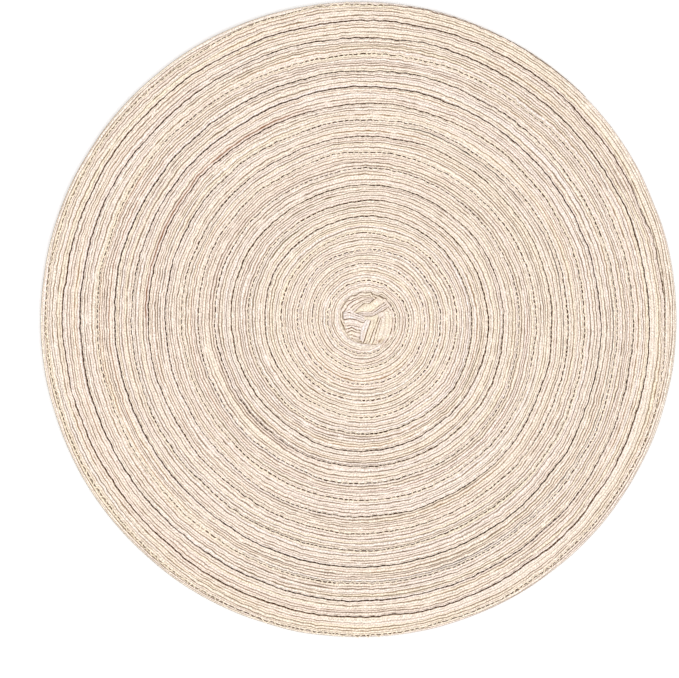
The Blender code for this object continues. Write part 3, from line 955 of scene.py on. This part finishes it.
# A fold shows a strip of the 10 mm tape. Its cloth counts as at least this share of that width.
# Small rusty marks on the knot, as x, y and radius in millimetres, and how strong each is.
STAINS = (
    (12.5, -13.0, 0.8, 0.80), (14.5, -12.6, 0.8, 0.50), (14.3, -14.4, 2.2, 0.14),
    (20.5, 0.2, 0.7, 0.4),
)

# Each fold: its name; its crown height in millimetres; the lines of its hollows, from the left of
# its run to the right, as points along them in millimetres from the mat's centre; how dark each
# hollow is painted, as shade with some darker thread in it; and how warm each yarn between two
# hollows is, from -1 lilac through 0 pink to 1 yellow.
FOLDS = (
    ("fold_along_lower_left", 3.70, (
        ((-9.4, 6.2), (-9.4, 2.4), (-9.1, -0.2), (-8.1, -1.9), (-7.4, -3.6), (-7.7, -5.0),
         (-6.2, -7.9), (-4.6, -9.6), (-3.0, -10.6), (-0.5, -11.4), (2.5, -12.6), (5.5, -13.5),
         (8.1, -13.5), (10.2, -12.6)),
        ((-11.3, 6.2), (-11.1, 3.2), (-11.0, -0.2), (-10.2, -2.3), (-9.3, -3.8), (-8.7, -5.5),
         (-7.4, -7.4), (-5.6, -10.3), (-3.5, -12.0), (-1.1, -12.6), (1.2, -13.2), (3.4, -14.3),
         (5.5, -14.8), (7.6, -15.2), (11.0, -15.1)),
    ), (0.72, 0.66), (0.6,)),
    ("fold_along_right", 3.72, (
        ((11.5, 14.7), (14.0, 13.1), (16.6, 12.9), (17.4, 10.7), (18.5, 9.4), (20.1, 7.4),
         (21.2, 4.5), (21.8, 2.4), (22.3, -1.0), (21.8, -3.6), (21.5, -6.6), (21.2, -8.9),
         (19.8, -11.8), (16.8, -15.1), (14.7, -17.5)),
        ((11.5, 13.0), (14.0, 11.1), (15.9, 10.0), (17.2, 8.3), (18.8, 6.6), (19.8, 4.1),
         (20.5, 1.5), (20.5, -1.0), (19.9, -3.6), (19.7, -6.2), (18.5, -10.0), (17.0, -12.6),
         (15.9, -13.9), (13.6, -16.4)),
        ((10.6, 10.9), (13.6, 8.3), (16.2, 6.6), (17.9, 4.1), (18.5, 1.1), (18.3, -1.9),
         (17.9, -5.3), (16.8, -8.7), (15.5, -12.1), (13.2, -15.1)),
        ((10.6, 8.3), (13.6, 6.2), (15.7, 4.1), (16.2, 1.1), (15.9, -1.9), (15.5, -5.3),
         (14.7, -8.7), (13.6, -11.7), (11.9, -13.8)),
        ((8.0, 6.0), (11.0, 4.0), (12.5, 1.0), (12.0, -2.5), (10.8, -6.0), (9.8, -9.0),
         (9.0, -12.0), (8.3, -13.5)),
    ), (0.80, 0.65, 0.22, 0.25, 0.0), (0.2, 0.45, 0.5, 0.45)),
    ("fold_upper_left", 3.85, (
        ((-11.6, 4.4), (-11.0, 6.2), (-9.4, 8.7), (-8.1, 10.9), (-6.4, 12.1), (-5.2, 13.5),
         (-3.5, 14.4), (-1.3, 14.4), (0.6, 16.1), (3.4, 15.9), (5.9, 16.0), (7.4, 16.4),
         (8.9, 14.7), (11.5, 14.7)),
        ((-10.7, 4.3), (-10.2, 6.4), (-8.8, 8.6), (-7.6, 10.5), (-5.6, 11.4), (-4.4, 11.2),
         (-3.0, 12.4), (-1.1, 12.8), (1.0, 14.3), (3.4, 13.8), (6.4, 14.5), (7.6, 13.4),
         (9.8, 13.5)),
        ((-8.8, 4.5), (-7.1, 7.1), (-6.2, 8.7), (-4.6, 10.0), (-3.0, 11.1), (-0.9, 12.0),
         (1.2, 13.0), (3.4, 12.8), (5.5, 13.4), (7.4, 12.6), (9.8, 12.8)),
        ((-6.7, 4.5), (-5.1, 6.4), (-3.0, 8.4), (-1.5, 9.1), (-0.1, 9.8), (2.3, 11.2), (4.3, 12.0),
         (6.4, 12.4), (7.4, 12.0), (9.3, 12.4)),
        ((-4.6, 4.3), (-3.0, 6.1), (-1.1, 7.9), (0.8, 9.4), (2.5, 10.5), (4.6, 10.9), (6.4, 10.9),
         (8.1, 11.5), (9.8, 12.0)),
        ((-3.0, 3.6), (-0.5, 5.2), (1.5, 7.0), (3.5, 8.2), (6.0, 8.5), (8.5, 9.8), (10.5, 11.0)),
    ), (0.80, 0.80, 0.75, 1.05, 0.40, 0.00), (0.5, 0.2, 0.1, 0.2, 0.2)),
    ("fold_upper_right", 3.90, (
        ((8.1, 15.6), (9.8, 14.7), (11.7, 14.1), (13.6, 13.1), (15.5, 12.4), (16.8, 10.7),
         (18.3, 8.8)),
        ((8.1, 14.1), (9.3, 13.5), (11.5, 12.3), (12.4, 10.9), (14.1, 10.0), (15.5, 9.7),
         (17.4, 7.9)),
        ((8.1, 12.4), (9.8, 11.7), (11.5, 10.3), (13.2, 9.1), (14.9, 8.3), (16.6, 7.1)),
    ), (0.60, 0.80, 0.60), (0.4, 0.5)),
    ("fold_left", 4.00, (
        ((-9.2, 4.5), (-6.7, 5.3), (-5.4, 6.2), (-3.8, 5.6), (-1.7, 4.1), (0.8, 3.3), (2.9, 2.4),
         (4.9, 1.7)),
        ((-9.3, 3.4), (-5.8, 4.2), (-4.3, 3.6), (-1.7, 2.6), (0.6, 1.9), (2.5, 0.8), (4.4, 0.2)),
        ((-9.3, 1.9), (-7.1, 2.3), (-5.6, 2.5), (-3.5, 1.9), (-0.9, 1.1), (1.7, -0.2), (4.2, -1.0)),
        ((-9.2, -0.2), (-7.6, 0.0), (-5.2, 0.5), (-3.4, 0.4), (-1.3, -0.4), (1.2, -1.3),
         (2.9, -1.9), (4.4, -2.2)),
        ((-8.8, -2.2), (-7.3, -2.4), (-5.2, -2.1), (-2.6, -2.6), (0.0, -3.4), (2.9, -4.0)),
        ((-8.7, -4.1), (-5.8, -3.6), (-4.5, -3.3), (-1.7, -4.1), (0.8, -4.7), (2.5, -5.1)),
        ((-8.1, -5.9), (-5.6, -5.5), (-4.1, -4.7), (-3.0, -5.3), (-1.3, -6.2), (0.4, -6.5),
         (1.9, -6.8)),
        ((-7.1, -8.3), (-5.6, -7.2), (-4.1, -6.7), (-3.0, -7.0), (-0.9, -7.9), (0.4, -7.9),
         (1.4, -8.3)),
        ((-6.1, -9.4), (-5.2, -9.1), (-3.0, -9.7), (-1.1, -10.3), (1.0, -10.8)),
        ((-5.4, -10.8), (-3.5, -11.7), (-1.1, -12.1), (0.8, -12.6)),
    ), (0.50, 0.60, 0.35, 1.20, 0.20, 0.60, 1.00, 0.85, 0.60, 0.80),
        (-0.6, -0.6, -0.4, 0.1, 0.1, 0.1, 0.1, 0.3, 0.3)),
    ("fold_lower_right", 4.15, (
        ((15.2, 3.0), (14.5, 1.1), (13.9, -1.5), (13.5, -3.6), (12.7, -6.6), (11.7, -9.6),
         (11.1, -11.7), (10.7, -13.6)),
        ((13.8, 1.9), (12.7, -1.0), (11.9, -2.7), (11.1, -5.3), (10.5, -7.4), (9.8, -10.4),
         (9.3, -12.6), (8.4, -14.3), (7.4, -15.4)),
        ((12.0, 1.5), (11.1, -1.0), (10.3, -2.8), (9.7, -4.7), (8.8, -6.8), (8.1, -8.7),
         (7.6, -10.6), (6.8, -13.0), (5.7, -14.9)),
        ((9.7, 0.2), (8.8, -2.7), (8.1, -5.0), (7.2, -7.4), (6.1, -10.0), (5.4, -12.6),
         (4.2, -14.5)),
        ((7.6, -0.2), (6.8, -2.7), (5.9, -5.0), (5.1, -7.5), (4.2, -10.4), (3.4, -13.0),
         (2.7, -14.3)),
        ((5.7, -0.1), (4.7, -2.7), (3.7, -5.3), (2.8, -8.3), (2.3, -10.8), (1.7, -13.2)),
        ((3.9, -0.2), (2.9, -2.3), (1.9, -4.5), (1.2, -6.6), (0.8, -10.0), (0.6, -12.6)),
    ), (0.75, 1.05, 1.15, 0.35, 0.90, 0.22, 0.60), (0.6, 0.6, 0.9, 0.4, -0.5, -0.6)),
    ("fold_top", 4.35, (
        ((-3.5, 4.2), (-1.7, 5.3), (0.0, 7.3), (1.3, 8.3), (2.9, 9.6), (4.7, 10.0), (6.0, 9.6),
         (7.4, 10.6), (9.0, 12.1), (11.5, 13.4)),
        ((-0.9, 4.0), (2.1, 4.6), (4.6, 4.4), (7.4, 4.5), (8.7, 5.4), (10.6, 6.8), (12.3, 8.0),
         (14.2, 9.2), (16.2, 10.4)),
        ((0.8, 3.6), (3.4, 3.6), (5.9, 3.3), (8.3, 3.5), (9.9, 4.7), (11.5, 5.8), (13.6, 7.4),
         (15.5, 8.3), (17.1, 9.7)),
        ((1.9, 2.7), (4.6, 2.5), (7.6, 2.5), (9.8, 3.4), (11.7, 4.6), (14.0, 6.1), (15.9, 7.1),
         (17.8, 8.5)),
        ((2.9, 1.9), (4.2, 1.6), (7.2, 1.5), (9.3, 2.1), (11.5, 3.4), (13.2, 4.4), (15.3, 5.1),
         (17.2, 6.7), (18.5, 7.8)),
    ), (1.10, 0.60, 0.88, 0.35, 1.15), (0.9, -0.2, -0.3, -0.1)),
)


def even_points(line, count):
    """Evenly spaced points along a line of given points. Each is averaged with its neighbours, so
    that the corners are eased."""
    reach = distances_round(line)[:-1]
    places = np.linspace(0, reach[-1], count)
    even = np.stack([np.interp(places, reach, line[:, axis]) for axis in (0, 1)], axis=-1)
    padded = np.concatenate([even[:1], even, even[-1:]])
    return 0.25 * padded[:-2] + 0.5 * padded[1:-1] + 0.25 * padded[2:]


def fold_points_across(smooth, share, between):
    """Plan points across a fold, each between two of its hollow lines by its share of the width of
    that yarn. Those beside a hollow or a fold's edge keep a set distance from it."""
    count = smooth.shape[1] - 1
    part = np.tile(share * count - between, (len(smooth), 1))
    yarn_width = np.linalg.norm(np.diff(smooth, axis=1), axis=2)[:, between]
    for fraction, distance, most in zip(FOLD_RIB_POINTS, FOLD_SIDE_DISTANCES, FOLD_SIDE_SHARES):
        from_hollow = np.minimum(distance / yarn_width, most)
        part = np.where(np.isclose(part, fraction), from_hollow, part)
        part = np.where(np.isclose(part, 1 - fraction), 1 - from_hollow, part)
    for column, distance, most in zip((1, 2), FOLD_EDGE_DISTANCES, FOLD_EDGE_SHARES):
        part[:, column] = np.minimum(distance / yarn_width[:, column], most)
        part[:, -1 - column] = 1 - np.minimum(distance / yarn_width[:, -1 - column], most)
    return smooth[:, between] * (1 - part)[:, :, None] + smooth[:, between + 1] * part[:, :, None]


def fold_darkness(place, darks, gaps, points, seed):
    """How dark each point across a fold is painted, and in which colour: each hollow by its own
    painted shade, partly darker thread, which flickers along it, and a share of that as painted
    shade on its flanks and beside the fold's edges."""
    dark = np.zeros((len(place), points))
    for number, usual in enumerate(darks):
        flicker = FOLD_FLICKER * ripple(place, FOLD_FLICKER_STEP, seed + 2, number)
        dark[:, gaps[number]] = usual * (1 + flicker)
    dark = np.clip(dark, 0, 1)
    colour = np.zeros((len(place), points, 3)) + np.array(BROWN)
    spread_to_flanks(dark, colour, gaps[1:-1], FOLD_FLANK_SHARE)
    dark[:, 1], dark[:, -2] = dark[:, 0], dark[:, -1]
    dark[:, 2] = FOLD_EDGE_FLANK_SHARE * dark[:, 0]
    dark[:, -3] = FOLD_EDGE_FLANK_SHARE * dark[:, -1]
    return dark, colour


def fold_yarn_shades(place, warmths, gaps, shade, seed):
    """Colours of a fold's yarns before its hollows get their painted shade: each one's own tone,
    drifting along it, with painted light, lighter along its crown and painted shade on its sides,
    and speckled."""
    colour = np.zeros((len(place), len(shade), 3))
    for number, warmth in enumerate(warmths):
        tone = warmth + FOLD_TONE_DRIFT * ripple(place, FOLD_TONE_STEP, seed + 3, number)
        yarn = mix(PINK_CREAM, YELLOW_CREAM, np.clip(tone, 0, 1))
        yarn = mix(yarn, LILAC_WHITE, np.clip(-tone, 0, 1))
        colour[:, gaps[number]:gaps[number + 1] + 1] = yarn[:, None, :]
    speckle = 1 + FOLD_SPECKLE * np.random.default_rng(seed).normal(0, 1, colour.shape[:2])
    return colour * (shade * speckle)[:, :, None]


def fold_rows(crown, lines, darks, warmths, seed):
    """Rings of points round one fold of tape, with their colours, the place of each ring along it
    and its mean width: smooth curves through its hollow lines, ribs between them, straight sides,
    and both ends tucked down. A ring runs over the top from the right of the fold's run to the
    left, and back underneath."""
    lines = [np.array(line) / 1000 for line in lines[::-1]]
    darks, warmths = darks[::-1], warmths[::-1]
    longest = max(distances_round(line)[-2] for line in lines)
    place = np.linspace(0, longest, int(longest / FOLD_STEP) + 2)
    smooth = np.stack([even_points(line, len(place)) for line in lines], axis=1)
    waves = [ripple(place, FOLD_WAVER_STEP, seed, row) for row in range(len(lines))]
    wave = np.stack(waves, axis=1)
    smooth = smooth + FOLD_WAVER * wave[:, :, None]

    count = len(lines) - 1
    share, on_rib, drop, shade = rib_places(
        np.arange(1, count) / count, FOLD_RIB_POINTS, FOLD_RIB_HEIGHTS, FOLD_RIB_PAINTED_LIGHT)
    gaps = np.where(on_rib < 0)[0]
    between = np.clip((share * count + 1e-9).astype(int), 0, count - 1)
    plan = fold_points_across(smooth, share, between)

    dark, hollow_colour = fold_darkness(place, darks, gaps, len(share), seed)
    colour = fold_yarn_shades(place, warmths, gaps, shade, seed)
    colour = warm_hollow_sides(mix(colour, hollow_colour, dark), dark, gaps, 2)
    for x, y, radius, strength in STAINS:
        off_mark = np.linalg.norm(plan - np.array((x, y)) / 1000, axis=-1) * 1000 / radius
        colour = mix(colour, RUST, strength * np.exp(-off_mark**2))

    z = crown / 1000 + drop - FOLD_SHOULDER_DROP * np.abs(2 * share - 1) ** 3
    z = z + FOLD_WAVER_UP * wave[:, between]
    z[:, gaps] -= np.interp(dark, (0, 1), FOLD_GROOVE_DEPTHS)[:, gaps]
    tuck = np.clip(1 - np.minimum(place, place[-1] - place) / FOLD_TUCK_LENGTH, 0, 1)
    z = z - FOLD_TUCK_DEPTH * tuck[:, None] ** 2

    under = (len(share) - 2, len(share) // 2, 1)
    under_z = z[:, under].mean(1, keepdims=True) - FOLD_THICKNESS
    ring_z = np.concatenate([z, np.tile(under_z, (1, len(under)))], axis=1)
    plan = np.concatenate([plan, plan[:, under]], axis=1)
    points = np.concatenate([plan, ring_z[:, :, None]], axis=2)
    colours = np.concatenate([colour, colour[:, under]], axis=1)
    mean_width = float(np.linalg.norm(smooth[:, -1] - smooth[:, 0], axis=1).mean())
    return points, colours, place, mean_width


bed_turn = np.linspace(0, 2 * np.pi, BED_POINTS, endpoint=False)
bed_plan = np.array(BED_RADII)[:, None, None] * np.stack([np.cos(bed_turn), np.sin(bed_turn)], -1)
bed_z = np.tile(np.array(BED_HEIGHTS)[:, None, None], (1, BED_POINTS, 1))
bed_points = np.concatenate([bed_plan + np.array(KNOT_CENTRE), bed_z], axis=2)
bed_painted_shade = np.interp(BED_RADII, BED_SHADE_RADII, BED_EDGE_PAINTED_SHADE)
bed_colours = mix(np.tile(YELLOW_CREAM, (len(BED_RADII), 1)), BROWN, bed_painted_shade)[:, None, :]
bed_colours = bed_colours * np.ones((1, BED_POINTS, 1))
bed_round = np.arange(BED_POINTS + 1) * BED_POINT_SPACING
bed = put_grid("knot_bed", bed_points, bed_colours, np.cumsum(BED_RADII), bed_round)
bed.data.materials.append(tape_yarn)
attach(bed, "root")
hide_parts("mat")

for number, (name, crown, lines, darks, warmths) in enumerate(FOLDS):
    seed = FIRST_FOLD_SEED + SEEDS_PER_FOLD * number
    points, colours, place, mean_width = fold_rows(crown, lines, darks, warmths, seed)
    fold = put_grid(name, points, colours, place, distances_round(points[len(points) // 2]))
    fold.data.materials.append(tape_yarn)
    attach(fold, "root")
    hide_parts("mat")
